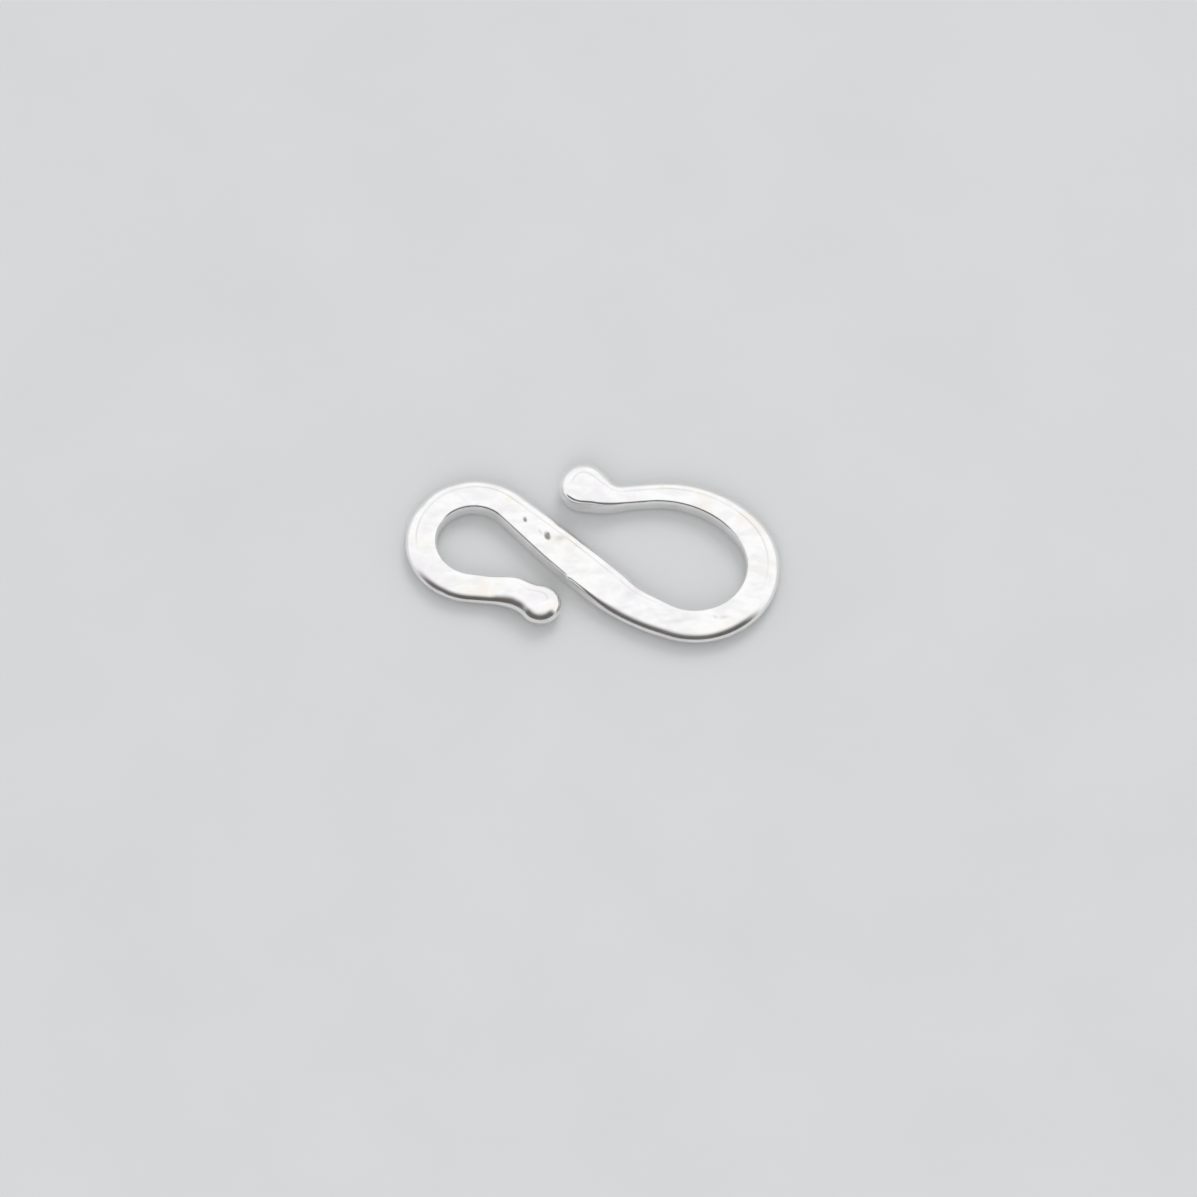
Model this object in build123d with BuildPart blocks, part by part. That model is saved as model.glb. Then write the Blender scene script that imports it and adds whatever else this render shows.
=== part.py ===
"""Cast sterling silver S hook clasp, lying flat: one wire-like body, a flattened ball at each end.

All lengths are millimetres and angles are degrees. +Z is up, +X runs along the
clasp, and the origin is under the middle of its bounding box, on the surface
that it lies on.
"""

from build123d import *
import os

# Straight bar between the two hooks, falling towards +X.
BAR_LENGTH = 5.07
BAR_SLOPE = 39.2
BAR_WIDTH = 1.62

# Large hook: an easy lead-in, the round bend, an easy lead-out, a short arm and a turned-out neck.
LARGE_ENTRY_RADIUS = 7.3
LARGE_ENTRY_ANGLE = 20.3
LARGE_ENTRY_WIDTH = 1.7
LARGE_BEND_RADIUS = 2.53
LARGE_BEND_ANGLE = 150
LARGE_BEND_WIDTH = 1.24
LARGE_EXIT_RADIUS = 4.12
LARGE_EXIT_ANGLE = 57.6
LARGE_ARM_LENGTH = 0.96
LARGE_ARM_WIDTH = 0.92
LARGE_NECK_RADIUS = 2.67
LARGE_NECK_ANGLE = 35
LARGE_NECK_WIDTH = 1.43
LARGE_SHOULDER_WIDTH = 1.62
LARGE_BALL_WIDTH = 1.84

# Small hook: one round bend, a short arm and a neck that turns out only a little.
SMALL_ENTRY_WIDTH = 1.32
SMALL_BEND_RADIUS = 1.98
SMALL_BEND_ANGLE = 216.8
SMALL_BEND_WIDTH = 1.08
SMALL_ARM_LENGTH = 0.92
SMALL_ARM_WIDTH = 1.03
SMALL_NECK_RADIUS = 4.14
SMALL_NECK_ANGLE = 26
SMALL_NECK_WIDTH = 1.2
SMALL_SHOULDER_WIDTH = 1.45
SMALL_BALL_WIDTH = 1.6

# Thickness of the body, of its slim arms and of the flattened balls with their shoulders.
BODY_THICKNESS = 0.76
ARM_THICKNESS = 0.7
BALL_THICKNESS = 0.95

os.makedirs("parts", exist_ok=True)

# Centreline on the resting surface, drawn from the middle of the bar out to both ball centres.
bar_direction = Vector(1, 0).rotate(Axis.Z, -BAR_SLOPE)
with BuildLine() as centreline:
    large_bar = Line((0, 0), bar_direction * BAR_LENGTH / 2)
    large_entry = JernArc(large_bar @ 1, large_bar % 1, LARGE_ENTRY_RADIUS, LARGE_ENTRY_ANGLE)
    large_bend = JernArc(large_entry @ 1, large_entry % 1, LARGE_BEND_RADIUS, LARGE_BEND_ANGLE)
    large_exit = JernArc(large_bend @ 1, large_bend % 1, LARGE_EXIT_RADIUS, LARGE_EXIT_ANGLE)
    large_arm = Line(large_exit @ 1, large_exit @ 1 + (large_exit % 1) * LARGE_ARM_LENGTH)
    large_neck = JernArc(large_arm @ 1, large_arm % 1, LARGE_NECK_RADIUS, -LARGE_NECK_ANGLE / 2)
    large_shoulder = JernArc(large_neck @ 1, large_neck % 1, LARGE_NECK_RADIUS, -LARGE_NECK_ANGLE / 2)
    small_bar = Line((0, 0), -bar_direction * BAR_LENGTH / 2)
    small_bend = JernArc(small_bar @ 1, small_bar % 1, SMALL_BEND_RADIUS, SMALL_BEND_ANGLE)
    small_arm = Line(small_bend @ 1, small_bend @ 1 + (small_bend % 1) * SMALL_ARM_LENGTH)
    small_neck = JernArc(small_arm @ 1, small_arm % 1, SMALL_NECK_RADIUS, -SMALL_NECK_ANGLE / 2)
    small_shoulder = JernArc(small_neck @ 1, small_neck % 1, SMALL_NECK_RADIUS, -SMALL_NECK_ANGLE / 2)

# Each hook as its stretches from the bar to the ball's middle, with the width and thickness each ends at.
large_hook = (
    (large_bar, LARGE_ENTRY_WIDTH, BODY_THICKNESS),
    (large_entry, LARGE_BEND_WIDTH, BODY_THICKNESS),
    (large_bend, LARGE_BEND_WIDTH, BODY_THICKNESS),
    (large_exit, LARGE_ARM_WIDTH, ARM_THICKNESS),
    (large_arm, LARGE_ARM_WIDTH, ARM_THICKNESS),
    (large_neck, LARGE_NECK_WIDTH, BALL_THICKNESS),
    (large_shoulder, LARGE_SHOULDER_WIDTH, BALL_THICKNESS),
)
small_hook = (
    (small_bar, SMALL_ENTRY_WIDTH, BODY_THICKNESS),
    (small_bend, SMALL_BEND_WIDTH, ARM_THICKNESS),
    (small_arm, SMALL_ARM_WIDTH, ARM_THICKNESS),
    (small_neck, SMALL_NECK_WIDTH, BALL_THICKNESS),
    (small_shoulder, SMALL_SHOULDER_WIDTH, BALL_THICKNESS),
)


def upright(line, position, thickness):
    """Plane across a stretch of centreline, its X level and its middle half a thickness up."""
    heading = line % position
    return Plane(
        origin=line @ position + Vector(0, 0, thickness / 2),
        x_dir=heading.cross(Vector(0, 0, 1)),
        z_dir=heading,
    )


# The section is flat on top and underneath with full round sides, and swells along each stretch.
with BuildPart() as blank:
    for hook in (large_hook, small_hook):
        width = BAR_WIDTH
        thickness = BODY_THICKNESS
        for stretch, end_width, end_thickness in hook:
            with BuildSketch(upright(stretch, 0, thickness)):
                SlotOverall(width, thickness)
            with BuildSketch(upright(stretch, 1, end_thickness)):
                SlotOverall(end_width, end_thickness)
            sweep(path=stretch, multisection=True)
            width = end_width
            thickness = end_thickness
    # Each ball is half a slot turned about the upright line through the end of its shoulder.
    for shoulder, ball_width in ((large_shoulder, LARGE_BALL_WIDTH), (small_shoulder, SMALL_BALL_WIDTH)):
        with BuildSketch(upright(shoulder, 1, BALL_THICKNESS)):
            SlotOverall(ball_width, BALL_THICKNESS)
            Rectangle(ball_width, BALL_THICKNESS, align=(Align.MAX, Align.CENTER), mode=Mode.SUBTRACT)
        revolve(axis=Axis(shoulder @ 1, (0, 0, 1)))

# The finished clasp lies over the middle of its own bounding box.
middle = blank.part.bounding_box().center()
with BuildPart() as s_hook:
    with Locations((-middle.X, -middle.Y, 0)):
        add(blank.part)

s_hook.part.label = "s_hook"
export_step(s_hook.part, "parts/s_hook.step")
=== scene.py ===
"""Cast sterling silver S hook clasp lying flat on a pale table.

The clasp is one surface: a flat-topped section, carried along a centreline of
straights and bends and folded shut round the middle of each end ball. The
outer sides of the S are widely rounded and its inner sides are crisp. Pits,
dents and a casting burr are part of the surface, and the finish is
tumble-polished silver. Names that end in _mm hold millimetres, and meshes are
in metres in the part's own frame.
"""

import logging
import math
from dataclasses import dataclass
from enum import Enum

import bmesh
import bpy
import numpy as np
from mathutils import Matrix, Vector


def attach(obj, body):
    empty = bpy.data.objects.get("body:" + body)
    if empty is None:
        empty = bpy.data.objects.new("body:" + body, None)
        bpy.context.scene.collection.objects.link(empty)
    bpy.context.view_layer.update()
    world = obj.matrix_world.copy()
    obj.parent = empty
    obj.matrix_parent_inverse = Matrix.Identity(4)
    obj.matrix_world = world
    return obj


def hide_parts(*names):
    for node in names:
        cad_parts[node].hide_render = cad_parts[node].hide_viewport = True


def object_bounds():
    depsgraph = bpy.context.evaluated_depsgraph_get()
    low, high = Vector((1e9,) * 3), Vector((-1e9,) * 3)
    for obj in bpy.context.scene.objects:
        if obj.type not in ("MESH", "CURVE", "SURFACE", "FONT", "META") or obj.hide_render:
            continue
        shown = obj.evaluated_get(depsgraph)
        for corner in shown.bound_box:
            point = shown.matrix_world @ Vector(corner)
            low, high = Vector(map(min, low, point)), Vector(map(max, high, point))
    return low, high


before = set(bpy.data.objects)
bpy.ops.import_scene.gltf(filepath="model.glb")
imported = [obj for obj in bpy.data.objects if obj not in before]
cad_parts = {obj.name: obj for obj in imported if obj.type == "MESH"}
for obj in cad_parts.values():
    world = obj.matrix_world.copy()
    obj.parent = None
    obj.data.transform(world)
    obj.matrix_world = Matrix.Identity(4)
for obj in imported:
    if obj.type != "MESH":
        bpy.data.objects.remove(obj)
CAD_LOW, CAD_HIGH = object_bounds()

MM = 0.001
TINY_MM = 1e-9
Colour = tuple[float, float, float, float]
log = logging.getLogger("s_hook_clasp")


def linear(hex_colour: str) -> Colour:
    """Turns an sRGB hex colour into linear light.

    Args:
        hex_colour: a colour such as "#F4F2EF".

    Returns:
        Linear red, green, blue and alpha.
    """
    channels = (int(hex_colour[i : i + 2], 16) / 255 for i in (1, 3, 5))
    red, green, blue = (
        c / 12.92 if c <= 0.04045 else ((c + 0.055) / 1.055) ** 2.4 for c in channels
    )
    return red, green, blue, 1.0


def add_node(
    tree: bpy.types.NodeTree, kind: str, inputs: dict | None = None, **settings: object
) -> bpy.types.Node:
    """Adds one shader node with its settings and links.

    Args:
        tree: the node tree that gets the node.
        kind: the node's Blender type.
        inputs: a value, or an output socket to link from, for each named input.
        settings: the node's own properties.

    Returns:
        The new node.
    """
    made = tree.nodes.new(kind)
    for name, value in settings.items():
        setattr(made, name, value)
    for name, value in (inputs or {}).items():
        if isinstance(value, bpy.types.NodeSocket):
            tree.links.new(value, made.inputs[name])
        else:
            made.inputs[name].default_value = value
    return made


def ramp(
    tree: bpy.types.NodeTree, value: bpy.types.NodeSocket, ends: tuple[float, float]
) -> bpy.types.NodeSocket:
    """Adds a smooth ramp.

    Args:
        tree: the node tree that gets the node.
        value: the output that the ramp reads.
        ends: the values at which the ramp is 0 and 1.

    Returns:
        The ramp's output.
    """
    inputs = {"Value": value, "From Min": ends[0], "From Max": ends[1]}
    made = add_node(tree, "ShaderNodeMapRange", inputs, interpolation_type="SMOOTHSTEP")
    return made.outputs["Result"]


def mix(
    tree: bpy.types.NodeTree,
    share: bpy.types.NodeSocket,
    first: bpy.types.NodeSocket | Colour,
    second: bpy.types.NodeSocket | Colour,
) -> bpy.types.NodeSocket:
    """Adds a mix of two colours, each given as a colour or as an output.

    Args:
        tree: the node tree that gets the node.
        share: the second colour's share.
        first: the colour at share 0.
        second: the colour at share 1.

    Returns:
        The mixed colour's output.
    """
    made = add_node(tree, "ShaderNodeMix", {0: share, 6: first, 7: second}, data_type="RGBA")
    return made.outputs[2]


def times(
    tree: bpy.types.NodeTree, first: bpy.types.NodeSocket, second: bpy.types.NodeSocket
) -> bpy.types.NodeSocket:
    """Adds the product of two outputs.

    Args:
        tree: the node tree that gets the node.
        first: one output.
        second: the other output.

    Returns:
        The product's output.
    """
    made = add_node(tree, "ShaderNodeMath", {0: first, 1: second}, operation="MULTIPLY")
    return made.outputs["Value"]


def empty_material(name: str) -> bpy.types.Material:
    """Makes a node material without any nodes.

    Args:
        name: the material's name.

    Returns:
        The new material.
    """
    made = bpy.data.materials.new(name)
    made.use_nodes = True
    made.node_tree.nodes.clear()
    return made


def ease(share: np.ndarray) -> np.ndarray:
    """Smooth step: 0 below 0, 1 above 1, and three squares less two cubes between.

    Args:
        share: any values.

    Returns:
        One value from 0 to 1 for each.
    """
    held = np.clip(share, 0, 1)
    return held**2 * (3 - 2 * held)


def soft_max(first: np.ndarray, second: np.ndarray, blend_mm: np.ndarray) -> np.ndarray:
    """The larger of two lengths, with a rounded corner where they cross.

    Within blend_mm of each other, the larger gains a quarter of the blend times
    the square of one minus their difference over the blend.

    Args:
        first: lengths in mm.
        second: as many other lengths in mm.
        blend_mm: size of the rounded corner for each pair.

    Returns:
        One length per pair, in mm.
    """
    near = np.clip(1 - np.abs(first - second) / np.maximum(blend_mm, TINY_MM), 0, 1)
    return np.maximum(first, second) + blend_mm * near**2 / 4


def smooth_run(values: np.ndarray, step_mm: float, window_mm: float) -> np.ndarray:
    """Rounds off the corners of a run of values with a raised-cosine moving average.

    Args:
        values: evenly spaced values along the centreline.
        step_mm: distance between two values.
        window_mm: full width of the average.

    Returns:
        The smoothed run, as long as the input.
    """
    half = max(1, round(window_mm / step_mm / 2))
    weights = 1 + np.cos(np.linspace(-math.pi, math.pi, 2 * half + 1))
    padded = np.pad(values, half, mode="edge")
    return np.convolve(padded, weights / weights.sum(), mode="valid")


class MarkKind(Enum):
    """What a small mark on the flat top is."""

    PIT = "pit"
    DENT = "dent"
    SMEAR = "smear"


MARK_STAIN = {MarkKind.PIT: 0.92, MarkKind.DENT: 0.26, MarkKind.SMEAR: 0.11}
MARK_STEEPNESS = {MarkKind.PIT: 2.0, MarkKind.DENT: 1.0, MarkKind.SMEAR: 1.0}


@dataclass(frozen=True)
class TopMark:
    """A small pit, dent or smear on the flat top, placed in the part's frame."""

    kind: MarkKind
    x_mm: float
    y_mm: float
    long_mm: float
    wide_mm: float
    deep_mm: float
    turn_deg: float

    def hollow(self, points: np.ndarray) -> np.ndarray:
        """Share of the mark's depth at each point: 1 at its middle, fading with distance.

        The fade is a bell curve in a turned ellipse, with steeper sides in a pit.

        Args:
            points: plan positions in mm, one row per point.

        Returns:
            One share per point.
        """
        turn = math.radians(self.turn_deg)
        off_x = points[:, 0] - self.x_mm
        off_y = points[:, 1] - self.y_mm
        along = (off_x * math.cos(turn) + off_y * math.sin(turn)) / self.long_mm
        across = (off_y * math.cos(turn) - off_x * math.sin(turn)) / self.wide_mm
        return np.exp(-((along**2 + across**2) ** MARK_STEEPNESS[self.kind]))


@dataclass(frozen=True)
class EdgeMark:
    """A burr (push above zero) or a nick (push below zero) on a side.

    out_deg is the way that the side faces in plan, counter-clockwise from +X.
    """

    x_mm: float
    y_mm: float
    z_mm: float
    reach_mm: float
    push_mm: float
    out_deg: float

    def shift(self, points: np.ndarray) -> np.ndarray:
        """How far the mark moves each point in plan: a bell curve round its middle.

        Args:
            points: positions in mm, one row per point.

        Returns:
            Shifts in mm, one row of x and y per point.
        """
        centre = np.array([self.x_mm, self.y_mm, self.z_mm])
        near = np.exp(-((np.linalg.norm(points - centre, axis=1) / self.reach_mm) ** 2))
        turn = math.radians(self.out_deg)
        return near[:, None] * self.push_mm * np.array([math.cos(turn), math.sin(turn)])


@dataclass(frozen=True)
class Fade:
    """A smooth change from 0 at its start to 1 at its end."""

    start: float
    end: float

    def at(self, values: np.ndarray) -> np.ndarray:
        """Share of the change that is done.

        Args:
            values: where to read the change.

        Returns:
            One share for each value.
        """
        return ease((values - self.start) / (self.end - self.start))


@dataclass(frozen=True)
class Wave:
    """One sine over the plan: its height, its radians per mm along x and y, and its phase."""

    height: float
    per_x: float
    per_y: float
    phase: float

    def at(self, x: np.ndarray, y: np.ndarray) -> np.ndarray:
        """Height of the wave.

        Args:
            x: places along x in mm.
            y: places along y in mm.

        Returns:
            One height for each place.
        """
        return self.height * np.sin(self.per_x * x + self.per_y * y + self.phase)


@dataclass(frozen=True)
class Rows:
    """The centreline in plan, one row per section, and how far the section reaches.

    left_mm and right_mm are the section's reach to the left and to the right of
    the way from the small ball to the large one.
    """

    distance_mm: np.ndarray
    place_mm: np.ndarray
    ahead: np.ndarray
    left_mm: np.ndarray
    right_mm: np.ndarray
    thick_mm: np.ndarray


@dataclass(frozen=True)
class Stretch:
    """One straight or bend of the centreline, and the section that it ends at.

    A straight has a length and a bend a radius. turn_deg is counter-clockwise on
    the way from the bar to the ball.
    """

    width_mm: float
    thick_mm: float
    length_mm: float = 0.0
    radius_mm: float = 0.0
    turn_deg: float = 0.0

    def run(self) -> float:
        """Length of the stretch.

        Returns:
            The length along the centreline, in mm.
        """
        return self.length_mm or self.radius_mm * math.radians(abs(self.turn_deg))


@dataclass(frozen=True)
class Pattern:
    """A noise pattern: its largest patches, its finer layers and how strong those are."""

    size_mm: float
    detail: float
    roughness: float = 0.5

    def noise(self, tree: bpy.types.NodeTree, place: bpy.types.NodeSocket) -> bpy.types.NodeSocket:
        """Adds the pattern.

        Args:
            tree: the node tree that gets the node.
            place: the output with the place to read the pattern at.

        Returns:
            The pattern's output, from 0 to 1.
        """
        inputs = {
            "Vector": place,
            "Scale": 1 / (self.size_mm * MM),
            "Detail": self.detail,
            "Roughness": self.roughness,
        }
        return add_node(tree, "ShaderNodeTexNoise", inputs).outputs["Fac"]


@dataclass(frozen=True)
class TumbledSilver:
    """Sterling silver, cast and tumble-polished, then worn a little.

    Tumbling leaves a bright, slightly soft mirror. Handling leaves hairline
    scratches, faint dull patches and a thin uneven film that tints the white
    lilac and straw, and polish stays dark in pits. The fine line round the flat
    is painted shade: the same dark colour stands in for the shade in that crease.
    Scratches and dull patches run the way that the piece was rubbed.
    """

    name: str = "tumbled_sterling_silver"
    clean: str = "#FCFCFC"
    lilac_film: str = "#F3F0F4"
    straw_film: str = "#F8F4ED"
    haze: str = "#F2F1F1"
    # Dark colour for stains in pits, dents and smears, and for the painted shade of the fine line
    # round the flat.
    grime_and_shade: str = "#5D5954"
    film: Pattern = Pattern(1.4, 5.0, 0.6)
    dull_patch: Pattern = Pattern(0.42, 6.0)
    scratch: Pattern = Pattern(0.09, 3.0)
    satin_grain: Pattern = Pattern(0.05, 2.0)
    lilac_ends: tuple[float, float] = (0.5, 0.72)
    straw_ends: tuple[float, float] = (0.48, 0.3)
    haze_ends: tuple[float, float] = (0.42, 0.72)
    wear_ends: tuple[float, float] = (0.3, 0.7)
    roughness: tuple[float, float] = (0.13, 0.24)
    rub_deg: float = 35.0
    rub_squeeze: float = 0.55
    relief_strength: float = 0.05
    scratch_deep_mm: float = 0.004
    grain_deep_mm: float = 0.003

    def material(self) -> bpy.types.Material:
        """Builds the node material.

        Returns:
            The finished material, which reads Object coordinates and the attribute that holds
            stains and painted shade.
        """
        made = empty_material(self.name)
        tree = made.node_tree
        place = add_node(tree, "ShaderNodeTexCoord").outputs["Object"]
        turn = (0, 0, math.radians(self.rub_deg))
        squeeze = (self.rub_squeeze, 1.0, 1.0)
        rubbed = add_node(
            tree, "ShaderNodeMapping", {"Vector": place, "Rotation": turn, "Scale": squeeze}
        ).outputs["Vector"]
        film = self.film.noise(tree, place)
        worn = add_node(
            tree,
            "ShaderNodeMapRange",
            {
                "Value": film,
                "From Min": self.wear_ends[0],
                "From Max": self.wear_ends[1],
                "To Min": self.roughness[0],
                "To Max": self.roughness[1],
            },
        )
        shader = add_node(
            tree,
            "ShaderNodeBsdfPrincipled",
            {
                "Base Color": self.colour(tree, film, rubbed),
                "Metallic": 1.0,
                "Roughness": worn.outputs["Result"],
                "Normal": self.relief(tree, place, rubbed),
            },
        )
        add_node(tree, "ShaderNodeOutputMaterial", {"Surface": shader.outputs["BSDF"]})
        return made

    def colour(
        self, tree: bpy.types.NodeTree, film: bpy.types.NodeSocket, rubbed: bpy.types.NodeSocket
    ) -> bpy.types.NodeSocket:
        """Adds the silver's colour: clean metal under film, dull patches, and the dark colour for
        stains in marks and for the painted shade line round the flat.

        Args:
            tree: the node tree that gets the nodes.
            film: the film's pattern.
            rubbed: the place, squeezed along the way of rubbing.

        Returns:
            The colour's output.
        """
        lilac = ramp(tree, film, self.lilac_ends)
        tinted = mix(tree, lilac, linear(self.clean), linear(self.lilac_film))
        filmed = mix(tree, ramp(tree, film, self.straw_ends), tinted, linear(self.straw_film))
        dull = ramp(tree, self.dull_patch.noise(tree, rubbed), self.haze_ends)
        hazed = mix(tree, dull, filmed, linear(self.haze))
        # The attribute holds stains in pits, dents and smears and the painted shade of the fine
        # line round the flat; both mix in the same dark colour.
        dirt_and_shade = add_node(tree, "ShaderNodeAttribute", attribute_name="grime_and_shade").outputs["Fac"]
        return mix(tree, dirt_and_shade, hazed, linear(self.grime_and_shade))

    def relief(
        self, tree: bpy.types.NodeTree, place: bpy.types.NodeSocket, rubbed: bpy.types.NodeSocket
    ) -> bpy.types.NodeSocket:
        """Adds the fine relief: hairline scratches, then a satin grain.

        Args:
            tree: the node tree that gets the nodes.
            place: the place on the piece.
            rubbed: the place, squeezed along the way of rubbing.

        Returns:
            The changed normal's output.
        """
        scratched = add_node(
            tree,
            "ShaderNodeBump",
            {
                "Strength": self.relief_strength,
                "Distance": self.scratch_deep_mm * MM,
                "Height": self.scratch.noise(tree, rubbed),
            },
        )
        grained = add_node(
            tree,
            "ShaderNodeBump",
            {
                "Strength": self.relief_strength,
                "Distance": self.grain_deep_mm * MM,
                "Height": self.satin_grain.noise(tree, place),
                "Normal": scratched.outputs["Normal"],
            },
        )
        return grained.outputs["Normal"]


@dataclass(frozen=True)
class PaleTable:
    """A plain pale honed stone top: dull and nearly even, with a faint grey mottle."""

    name: str = "pale_honed_table"
    light: str = "#D4D5D6"
    dark: str = "#CECFD0"
    mottle: Pattern = Pattern(6.0, 4.0)
    roughness: float = 0.55

    def material(self) -> bpy.types.Material:
        """Builds the node material.

        Returns:
            The finished material, which reads Object coordinates.
        """
        made = empty_material(self.name)
        tree = made.node_tree
        place = add_node(tree, "ShaderNodeTexCoord").outputs["Object"]
        tone = mix(tree, self.mottle.noise(tree, place), linear(self.light), linear(self.dark))
        shader = add_node(
            tree, "ShaderNodeBsdfPrincipled", {"Base Color": tone, "Roughness": self.roughness}
        )
        add_node(tree, "ShaderNodeOutputMaterial", {"Surface": shader.outputs["BSDF"]})
        return made


@dataclass(frozen=True)
class HookClasp:
    """The one-piece clasp: its sizes, its surface and its finish.

    Distances along the centreline count from the middle of the bar and are below
    zero on the small hook. Left and right are as seen on the way from the small
    ball to the large one.
    """

    bar_slope_deg: float = 39.2
    bar_width_mm: float = 1.62
    body_thick_mm: float = 0.76
    large_hook: tuple[Stretch, ...] = (
        Stretch(1.7, 0.76, length_mm=2.535),
        Stretch(1.24, 0.76, radius_mm=7.3, turn_deg=20.3),
        Stretch(1.24, 0.76, radius_mm=2.53, turn_deg=150),
        Stretch(0.92, 0.7, radius_mm=4.12, turn_deg=57.6),
        Stretch(0.92, 0.7, length_mm=0.96),
        Stretch(1.43, 0.95, radius_mm=2.67, turn_deg=-17.5),
        Stretch(1.62, 0.95, radius_mm=2.67, turn_deg=-17.5),
    )
    small_hook: tuple[Stretch, ...] = (
        Stretch(1.32, 0.76, length_mm=2.535),
        Stretch(1.08, 0.7, radius_mm=1.98, turn_deg=216.8),
        Stretch(1.03, 0.7, length_mm=0.92),
        Stretch(1.2, 0.95, radius_mm=4.14, turn_deg=-13),
        Stretch(1.45, 0.95, radius_mm=4.14, turn_deg=-13),
    )
    heading_ease_mm: float = 0.4
    section_ease_mm: float = 0.5

    large_ball_mm: float = 1.84
    small_ball_mm: float = 1.6
    ball_corner_mm: float = 0.3
    outline_ease_mm: float = 0.4
    notch_mm: float = 0.13
    notch_from_end_mm: float = 1.22
    notch_reach_mm: float = 0.3
    notch_corner_mm: float = 0.08
    notch_kept: Fade = Fade(-2.5, -2.0)

    outer_share: float = 1.14
    outer_power: float = 1.17
    inner_share: float = 0.6
    inner_power: float = 0.62
    side_limit: float = 0.94
    left_crisp: Fade = Fade(3.0, 5.0)
    right_round: Fade = Fade(1.3, 3.3)
    past_small_ball: Fade = Fade(0.4, 1.3)
    tip_round_rad: Fade = Fade(0.2, 1.5)

    crown_mm: float = 0.012
    rim_line_mm: float = 0.03
    rim_line_deep_mm: float = 0.003
    # Share of the dark colour in the fine line round the flat: painted shade for the crease there.
    rim_line_shade: float = 0.26
    rim_above: float = 0.5
    rim_far: Fade = Fade(-0.45, 0.15)
    rim_mean: float = 0.68
    rim_waves: tuple[Wave, ...] = (Wave(0.2, 1.7, 0.0, 0.6), Wave(0.12, 4.3, 0.0, 0.0))

    top_waves: tuple[Wave, ...] = (
        Wave(1.0, 1.9, 1.3, 0.4),
        Wave(0.7, -1.2, 3.1, 2.0),
        Wave(0.35, 5.3, 4.1, 0.0),
    )
    top_wave_mm: float = 0.004
    top_sink_mm: float = 0.008
    top_gain: float = 2.2
    top_offset: float = 0.9
    top_marks: tuple[TopMark, ...] = (
        TopMark(MarkKind.PIT, -2.587, 0.991, 0.11, 0.07, 0.06, -70),
        TopMark(MarkKind.PIT, -1.71, 0.36, 0.17, 0.11, 0.09, -60),
        TopMark(MarkKind.DENT, -1.99, 0.51, 0.14, 0.04, 0.035, -60),
        TopMark(MarkKind.DENT, -1.22, 0.3, 0.22, 0.12, 0.012, 20),
        TopMark(MarkKind.DENT, 5.05, -2.65, 0.18, 0.07, 0.03, 10),
        TopMark(MarkKind.DENT, 4.75, -2.66, 0.1, 0.06, 0.02, -20),
        TopMark(MarkKind.SMEAR, 3.23, -2.95, 0.75, 0.09, 0.0, 12),
        TopMark(MarkKind.SMEAR, 1.64, -1.85, 0.5, 0.16, 0.0, 35),
    )
    edge_marks: tuple[EdgeMark, ...] = (
        EdgeMark(-0.81, -1.3, 0.62, 0.09, 0.055, -129),
        EdgeMark(-5.557, -2.35, 0.5, 0.16, -0.03, -120),
        EdgeMark(-6.424, 1.458, 0.5, 0.3, -0.035, 150),
    )

    box_gap_mm: float = 0.002
    merge_mm: float = 0.0002
    rows: int = 820
    fold_rows: int = 26
    top_columns: int = 47
    side_columns: int = 22
    under_columns: int = 9

    def along(self) -> tuple[np.ndarray, np.ndarray, np.ndarray, np.ndarray]:
        """Distance, heading, width and thickness along the whole centreline.

        Heading is the bar's own plus the turns made since the bar. It, the width
        and the thickness run straight from one stretch's end to the next, and
        then every corner is rounded off.

        Returns:
            Four arrays with one value per row: mm, radians, mm and mm.
        """
        small_ends, large_ends = (
            np.cumsum([0.0] + [stretch.run() for stretch in hook])
            for hook in (self.small_hook, self.large_hook)
        )
        distance = np.linspace(-small_ends[-1], large_ends[-1], self.rows)
        step = distance[1] - distance[0]
        turned = np.zeros(self.rows)
        width = np.zeros(self.rows)
        thick = np.zeros(self.rows)
        for knots, hook, sign in (
            (small_ends, self.small_hook, -1),
            (large_ends, self.large_hook, 1),
        ):
            here = distance * sign >= 0
            out = np.abs(distance[here])
            turned[here] = np.interp(out, knots, np.cumsum([0.0] + [s.turn_deg for s in hook]))
            width[here] = np.interp(out, knots, [self.bar_width_mm] + [s.width_mm for s in hook])
            thick[here] = np.interp(out, knots, [self.body_thick_mm] + [s.thick_mm for s in hook])
        heading = np.radians(smooth_run(turned, step, self.heading_ease_mm) - self.bar_slope_deg)
        width = smooth_run(width, step, self.section_ease_mm)
        thick = smooth_run(thick, step, self.section_ease_mm)
        return distance, heading, width, thick

    def centreline(self) -> Rows:
        """The centreline from the small ball to the large one.

        Place is the running sum of the heading's unit vector, each step by the mean
        of its two ends, counted from the middle of the bar.

        Returns:
            The rows, with places and reaches in mm.
        """
        distance, heading, width, thick = self.along()
        ahead = np.stack([np.cos(heading), np.sin(heading)], 1)
        steps = (ahead[1:] + ahead[:-1]) / 2 * (distance[1] - distance[0])
        walked = np.concatenate([np.zeros((1, 2)), np.cumsum(steps, axis=0)])
        place = walked - np.array([np.interp(0, distance, walked[:, i]) for i in (0, 1)])
        left, right = self.reaches(distance, place, ahead, width)
        return Rows(distance, place, ahead, left, right, thick)

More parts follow.
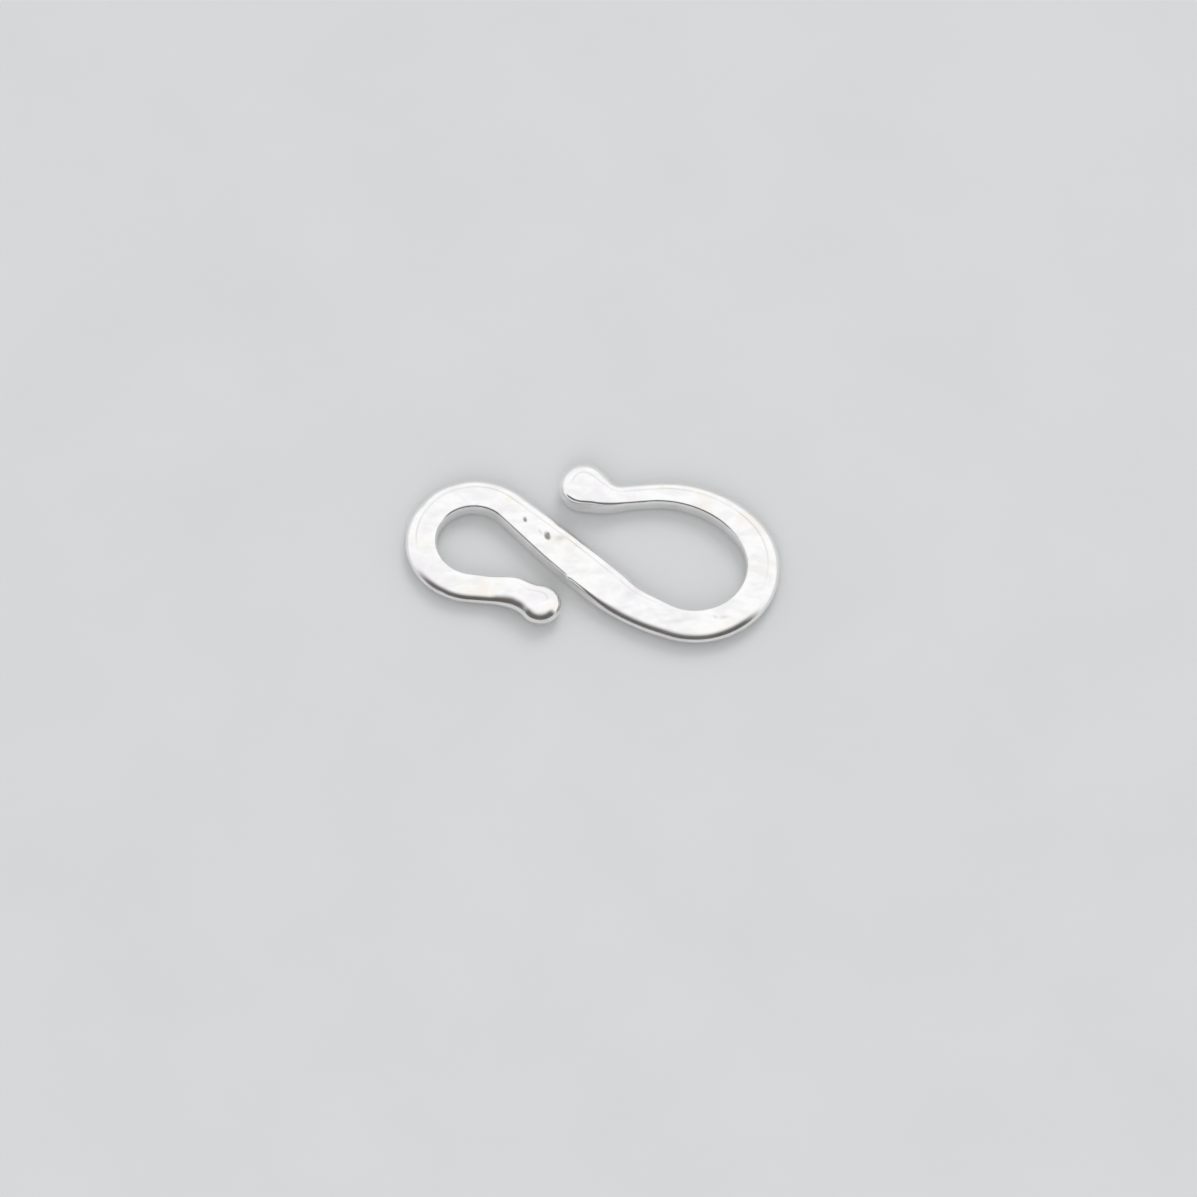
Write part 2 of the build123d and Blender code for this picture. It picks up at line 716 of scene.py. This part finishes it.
    def reaches(
        self, distance: np.ndarray, place: np.ndarray, ahead: np.ndarray, width: np.ndarray
    ) -> tuple[np.ndarray, np.ndarray]:
        """How far the sections reach to both sides of the centreline.

        Near an end, a section reaches to the ball's circle where that is further
        out than its own half width: along the normal, that is the root of radius
        squared less the squares of the ball's offsets, plus the offset along the
        normal. A shallow notch (a bell curve) parts the large ball from its arm on
        the right and keeps its corner, and elsewhere the outline is rounded off.

        Args:
            distance: along the centreline in mm, one per row.
            place: plan positions in mm, one row each.
            ahead: unit vectors along the centreline, one row each.
            width: full widths of the sections in mm, one per row.

        Returns:
            The reach to the left and to the right in mm, one value per row.
        """
        normal = np.stack([-ahead[:, 1], ahead[:, 0]], 1)
        beside_ball = (distance[-1] - distance - self.notch_from_end_mm) / self.notch_reach_mm
        notch = self.notch_mm * np.exp(-(beside_ball**2))
        reach = [width / 2, width / 2 - notch]
        balls = (
            (0, self.small_ball_mm, (self.ball_corner_mm, self.ball_corner_mm)),
            (-1, self.large_ball_mm, (self.ball_corner_mm, self.notch_corner_mm)),
        )
        for end, ball, corners in balls:
            radius = ball / 2
            offset = place[end] - place
            on_normal = (offset * normal).sum(axis=1)
            left_over = radius**2 - (offset**2).sum(axis=1) + on_normal**2
            root = np.sqrt(np.maximum(left_over, 0))
            from_end = np.minimum(np.abs(distance - distance[end]) / radius, 1)
            for i, sign in enumerate((1, -1)):
                blend = corners[i] * from_end**2 * (from_end < 1)
                circle = np.where(from_end < 1, root + sign * on_normal, 0)
                reach[i] = soft_max(reach[i], circle, blend)
        step = distance[1] - distance[0]
        left, right = (smooth_run(side, step, self.outline_ease_mm) for side in reach)
        kept = self.notch_kept.at(distance - distance[-1])
        return left, right + (reach[1] - right) * kept

    def section(self) -> tuple[np.ndarray, np.ndarray, np.ndarray]:
        """The section's columns, going round it once.

        The top and the underside run across the flat, on top closer together near
        its edges, and each side goes half a turn round.

        Returns:
            Place across the flat from -1 to 1, the side's outward share (cosine) and
            its upward share (sine), one value per column.
        """
        top = np.sin(np.linspace(1, -1, self.top_columns) * math.pi / 2)
        under = np.linspace(-1, 1, self.under_columns)
        turn = np.linspace(math.pi / 2, -math.pi / 2, self.side_columns + 2)[1:-1]
        edge = np.ones(self.side_columns)
        flat = np.concatenate([top, -edge, under, edge])
        outward = np.concatenate([0 * top, -np.cos(turn), 0 * under, np.cos(turn[::-1])])
        upward = np.concatenate([0 * top + 1, np.sin(turn), 0 * under - 1, np.sin(turn[::-1])])
        return flat, outward, upward

    def roundness(self, distance: np.ndarray, angle: np.ndarray, left: np.ndarray) -> np.ndarray:
        """Which sides are rounded over widely, from 0 (a crisp wall) to 1 (round).

        The casting is round on the outside of its S and crisp on the inside. The
        outside is the left side up to the large bend and the right side from the
        bar on. The small ball and both tips are round all over.

        Args:
            distance: along the centreline in mm, one per row.
            angle: of the fold in radians, one per row.
            left: whether each column is on the left side.

        Returns:
            One value for each row and column.
        """
        outside = np.where(left, 1 - self.left_crisp.at(distance), self.right_round.at(distance))
        crisp_arm = self.past_small_ball.at(distance - distance.min())
        return 1 - (1 - outside) * crisp_arm * (1 - self.tip_round_rad.at(np.abs(angle)))

    def surface(self) -> tuple[np.ndarray, np.ndarray]:
        """Vertices of the whole surface before its marks, and the painted shade of the fine line
        round the flat.

        A point is the centreline point, plus its place across the section along
        the normal. A side is a superellipse: cosine and sine of one angle, each to
        a power that is above 1 where the side is round and below where it is crisp.
        Past the middle of a ball the section's two halves fold towards the tip
        until they meet, so the fold turns the place across into a place ahead:
        across times cosine to the side, its size times sine ahead.

        Returns:
            Positions in mm, shaped rows by columns by 3, and the painted shade share shaped rows
            by columns.
        """
        rows = self.centreline()
        fold = np.linspace(0, math.pi / 2, self.fold_rows + 1)[1:]
        first = np.zeros(self.fold_rows, int)
        row = np.concatenate([first, np.arange(self.rows), first + self.rows - 1])
        angle = np.concatenate([-fold[::-1], np.zeros(self.rows), fold])[:, None]
        flat, outward, upward = self.section()
        distance = rows.distance_mm[row, None]
        soft = self.roundness(distance, angle, flat >= 0)
        power = self.inner_power + (self.outer_power - self.inner_power) * soft
        outward = np.sign(outward) * np.abs(outward) ** power
        upward = np.sign(upward) * np.abs(upward) ** power
        reach = np.where(flat >= 0, rows.left_mm[row, None], rows.right_mm[row, None])
        half_thick = (rows.thick_mm / 2)[row, None]
        share = self.inner_share + (self.outer_share - self.inner_share) * soft
        side = np.minimum(half_thick * share, reach * self.side_limit)
        across = flat * (reach - side) + outward * side
        crown = self.crown_mm * (np.abs(across) / reach) ** 2
        height = half_thick * (1 + upward) - np.maximum(upward, 0) * crown
        tangent = rows.ahead[row][:, None, :]
        normal = np.stack([-rows.ahead[row][:, 1], rows.ahead[row][:, 0]], 1)[:, None, :]
        sideways = np.sign(across) * np.cos(angle)
        forward = np.sin(angle) * np.ones_like(across)
        facing = normal * sideways[..., None] + tangent * forward[..., None]
        # The fine line round the flat: a tiny groove whose dark colour is painted shade for the
        # crease, shown on sides that do not face -Y.
        from_rim = (np.abs(across) - (reach - side)) / self.rim_line_mm
        line = np.exp(-(from_rim**2)) * (upward > self.rim_above)
        line = line * soft * self.rim_strength(distance, facing[..., 1])
        plan = rows.place_mm[row][:, None, :] + facing * np.abs(across)[..., None]
        height = height - line * self.rim_line_deep_mm
        return np.concatenate([plan, height[..., None]], 2), line * self.rim_line_shade

    def rim_strength(self, distance: np.ndarray, far: np.ndarray) -> np.ndarray:
        """How strong the fine line along the edge of the flat is, where the side is round: its
        small groove and its painted shade.

        It fades out on sides that face -Y, so the painted shade shows on sides that
        face the other ways. There it comes and goes along the way.

        Args:
            distance: along the centreline in mm, one per row.
            far: how far each point's side faces +Y, from -1 to 1.

        Returns:
            A strength from 0 to 1 for each point.
        """
        uneven = self.rim_mean + sum(wave.at(distance, 0) for wave in self.rim_waves)
        return self.rim_far.at(far) * uneven

    def hand_made(self, points: np.ndarray, grime_and_shade: np.ndarray) -> tuple[np.ndarray, np.ndarray]:
        """Adds the uneven surface and the marks of the real casting.

        Long low waves tip the top by a few thousandths of a millimetre, pits and
        dents hollow it, and burrs and nicks push the side out or in.

        Args:
            points: positions in mm in the part's frame, one row per vertex.
            grime_and_shade: share of the dark colour per vertex, which so far is the painted shade
                of the fine line round the flat.

        Returns:
            The changed positions, and the share of the dark colour: stains in marks and the
            painted shade of the fine line.
        """
        x, y, z = points.T
        top = np.clip(z / z.max() * self.top_gain - self.top_offset, 0, 1)
        wave = sum(wave.at(x, y) for wave in self.top_waves)
        moved = points.copy()
        moved[:, 2] += top * (self.top_wave_mm * wave - self.top_sink_mm)
        for mark in self.top_marks:
            hollow = mark.hollow(points) * top
            moved[:, 2] -= mark.deep_mm * hollow
            grime_and_shade = np.maximum(grime_and_shade, MARK_STAIN[mark.kind] * hollow)
        for mark in self.edge_marks:
            moved[:, :2] += mark.shift(points)
        return moved, grime_and_shade

    def build(self) -> bpy.types.Object:
        """Makes the mesh, brought to the middle of the CAD box and just inside its sides.

        Returns:
            The clasp's object, at the origin.
        """
        grid, grime_and_shade = self.surface()
        rows, columns = grime_and_shade.shape
        points = grid.reshape(-1, 3)
        low, high = points.min(axis=0)[:2], points.max(axis=0)[:2]
        cad_low, cad_high = (np.array(corner[:2]) / MM for corner in (CAD_LOW, CAD_HIGH))
        fit = np.minimum(1, (cad_high - cad_low - 2 * self.box_gap_mm) / (high - low))
        points[:, :2] = (points[:, :2] - (low + high) / 2) * fit + (cad_low + cad_high) / 2
        points, stain_and_shade = self.hand_made(points, grime_and_shade.ravel())
        column = np.arange(columns)
        after = np.roll(column, -1)
        start = (np.arange(rows - 1) * columns)[:, None]
        here, beside = start + column, start + after
        quads = np.stack([here, beside, beside + columns, here + columns], 2)
        mesh = bpy.data.meshes.new("s_hook_body")
        mesh.from_pydata((points * MM).tolist(), [], quads.reshape(-1, 4).tolist())
        # Stains in pits, dents and smears, and the painted shade of the fine line round the flat.
        grime_and_shade_layer = mesh.attributes.new("grime_and_shade", "FLOAT", "POINT")
        grime_and_shade_layer.data.foreach_set("value", stain_and_shade.astype(np.float32))
        self.close(mesh)
        return self.placed(mesh)

    def close(self, mesh: bpy.types.Mesh) -> None:
        """Merges the folded halves and the poles, and turns every face outwards.

        Args:
            mesh: the clasp's mesh, changed in place.
        """
        work = bmesh.new()
        work.from_mesh(mesh)
        bmesh.ops.remove_doubles(work, verts=work.verts, dist=self.merge_mm * MM)
        bmesh.ops.recalc_face_normals(work, faces=work.faces)
        for face in work.faces:
            face.smooth = True
        work.to_mesh(mesh)
        work.free()

    def placed(self, mesh: bpy.types.Mesh) -> bpy.types.Object:
        """Links the mesh as the piece that stands for the CAD body.

        Args:
            mesh: the clasp's finished mesh.

        Returns:
            The clasp's object.
        """
        piece = bpy.data.objects.new("s_hook_body", mesh)
        bpy.context.scene.collection.objects.link(piece)
        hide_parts("s_hook")
        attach(piece, "root")
        return piece

    def dress(self, piece: bpy.types.Object) -> None:
        """Gives the piece its silver.

        Args:
            piece: the clasp's object.
        """
        piece.data.materials.append(TumbledSilver().material())


@dataclass(frozen=True)
class Studio:
    """Pale table, soft light and the camera of the photograph.

    room_side and room_low are the Y and Z of a direction at which the dim room
    starts and at which it is full.
    """

    aim_mm: tuple[float, float] = (0.34, -1.765)
    azimuth_deg: float = 4.0
    elevation_deg: float = 60.6
    distance_mm: float = 900.0
    field_mm: float = 44.42
    sensor_mm: float = 36.0
    clip_m: tuple[float, float] = (0.01, 5.0)
    table_mm: float = 900.0
    table_thick_mm: float = 30.0
    lamp_size_mm: float = 260.0
    back_lamp_mm: tuple[float, float, float] = (80, 330, 330)
    back_watts: float = 0.6
    front_lamp_mm: tuple[float, float, float] = (0, -350, 250)
    front_watts: float = 0.42
    sky: str = "#FFFFFF"
    sky_fill: float = 0.73
    room: str = "#5F5C59"
    room_side: tuple[float, float] = (-0.05, -0.5)
    room_low: tuple[float, float] = (0.87, 0.46)

    def table(self) -> bpy.types.Object:
        """A thick flat table top under the clasp.

        Returns:
            The table's object.
        """
        half = self.table_mm / 2 * MM
        plan = [(-half, -half), (half, -half), (half, half), (-half, half)]
        corners = [(x, y, z) for z in (-self.table_thick_mm * MM, 0) for x, y in plan]
        sides = [(i, (i + 1) % 4, (i + 1) % 4 + 4, i + 4) for i in range(4)]
        faces = [(3, 2, 1, 0), (4, 5, 6, 7)] + sides
        mesh = bpy.data.meshes.new("table")
        mesh.from_pydata(corners, [], faces)
        mesh.materials.append(PaleTable().material())
        table = bpy.data.objects.new("table", mesh)
        bpy.context.scene.collection.objects.link(table)
        return table

    def world(self) -> None:
        """A soft white surround, with a dim room low on the near side for mirror rays.

        Diffuse light comes evenly from all round, so shadows stay pale. What the
        metal mirrors is the same white, apart from a dim room that starts some 30
        degrees from straight up on the camera's side and fades out to the left and
        right. It shows as a soft dark band along walls that face that way.
        """
        world = bpy.data.worlds.new("soft_surround")
        bpy.context.scene.world = world
        world.use_nodes = True
        tree = world.node_tree
        tree.nodes.clear()
        direction = add_node(tree, "ShaderNodeTexCoord").outputs["Generated"]
        parts = add_node(tree, "ShaderNodeSeparateXYZ", {"Vector": direction}).outputs
        path = add_node(tree, "ShaderNodeLightPath").outputs
        near = ramp(tree, parts["Y"], self.room_side)
        low = ramp(tree, parts["Z"], self.room_low)
        mirrored = times(tree, times(tree, near, low), path["Is Glossy Ray"])
        level = add_node(
            tree,
            "ShaderNodeMapRange",
            {"Value": path["Is Diffuse Ray"], "To Min": 1.0, "To Max": self.sky_fill},
        )
        back = add_node(
            tree,
            "ShaderNodeBackground",
            {
                "Color": mix(tree, mirrored, linear(self.sky), linear(self.room)),
                "Strength": level.outputs["Result"],
            },
        )
        add_node(tree, "ShaderNodeOutputWorld", {"Surface": back.outputs["Background"]})

    def lamp(
        self, name: str, place_mm: tuple[float, float, float], watts: float
    ) -> bpy.types.Object:
        """A wide soft lamp aimed at the clasp, which the silver doesn't mirror.

        Args:
            name: the lamp's name.
            place_mm: where it hangs.
            watts: its power.

        Returns:
            The lamp's object.
        """
        light = bpy.data.lights.new(name, "AREA")
        light.shape = "DISK"
        light.size = self.lamp_size_mm * MM
        light.energy = watts
        lamp = bpy.data.objects.new(name, light)
        lamp.location = Vector(place_mm) * MM
        lamp.rotation_euler = (-lamp.location).to_track_quat("-Z", "Y").to_euler()
        lamp.visible_glossy = False
        bpy.context.scene.collection.objects.link(lamp)
        return lamp

    def camera(self) -> bpy.types.Object:
        """The long-lens camera, looking down at the clasp from the near side.

        Returns:
            The camera's object, set as the scene's own.
        """
        turn = math.radians(self.azimuth_deg)
        rise = math.radians(self.elevation_deg)
        level = math.cos(rise)
        back = Vector((math.sin(turn) * level, -math.cos(turn) * level, math.sin(rise)))
        lens = bpy.data.cameras.new("camera")
        lens.sensor_width = self.sensor_mm
        lens.lens = self.sensor_mm * self.distance_mm / self.field_mm
        lens.clip_start, lens.clip_end = self.clip_m
        camera = bpy.data.objects.new("camera", lens)
        aim = Vector((self.aim_mm[0], self.aim_mm[1], 0)) * MM
        camera.location = aim + back * self.distance_mm * MM
        camera.rotation_mode = "QUATERNION"
        camera.rotation_quaternion = (-back).to_track_quat("-Z", "Y")
        bpy.context.scene.collection.objects.link(camera)
        bpy.context.scene.camera = camera
        return camera

    def build(self) -> None:
        """Builds the table, the surround, both lamps and the camera."""
        self.table()
        self.world()
        self.lamp("back_lamp", self.back_lamp_mm, self.back_watts)
        self.lamp("front_lamp", self.front_lamp_mm, self.front_watts)
        self.camera()
        bpy.context.scene.view_settings.view_transform = "Standard"


def main() -> None:
    """Builds the studio and the clasp, and reports each piece."""
    logging.basicConfig(level=logging.INFO, format="%(name)s: %(message)s")
    Studio().build()
    log.info("studio ready")
    clasp = HookClasp()
    piece = clasp.build()
    clasp.dress(piece)
    log.info("%s has %d vertices", piece.name, len(piece.data.vertices))


if __name__ == "__main__":
    main()
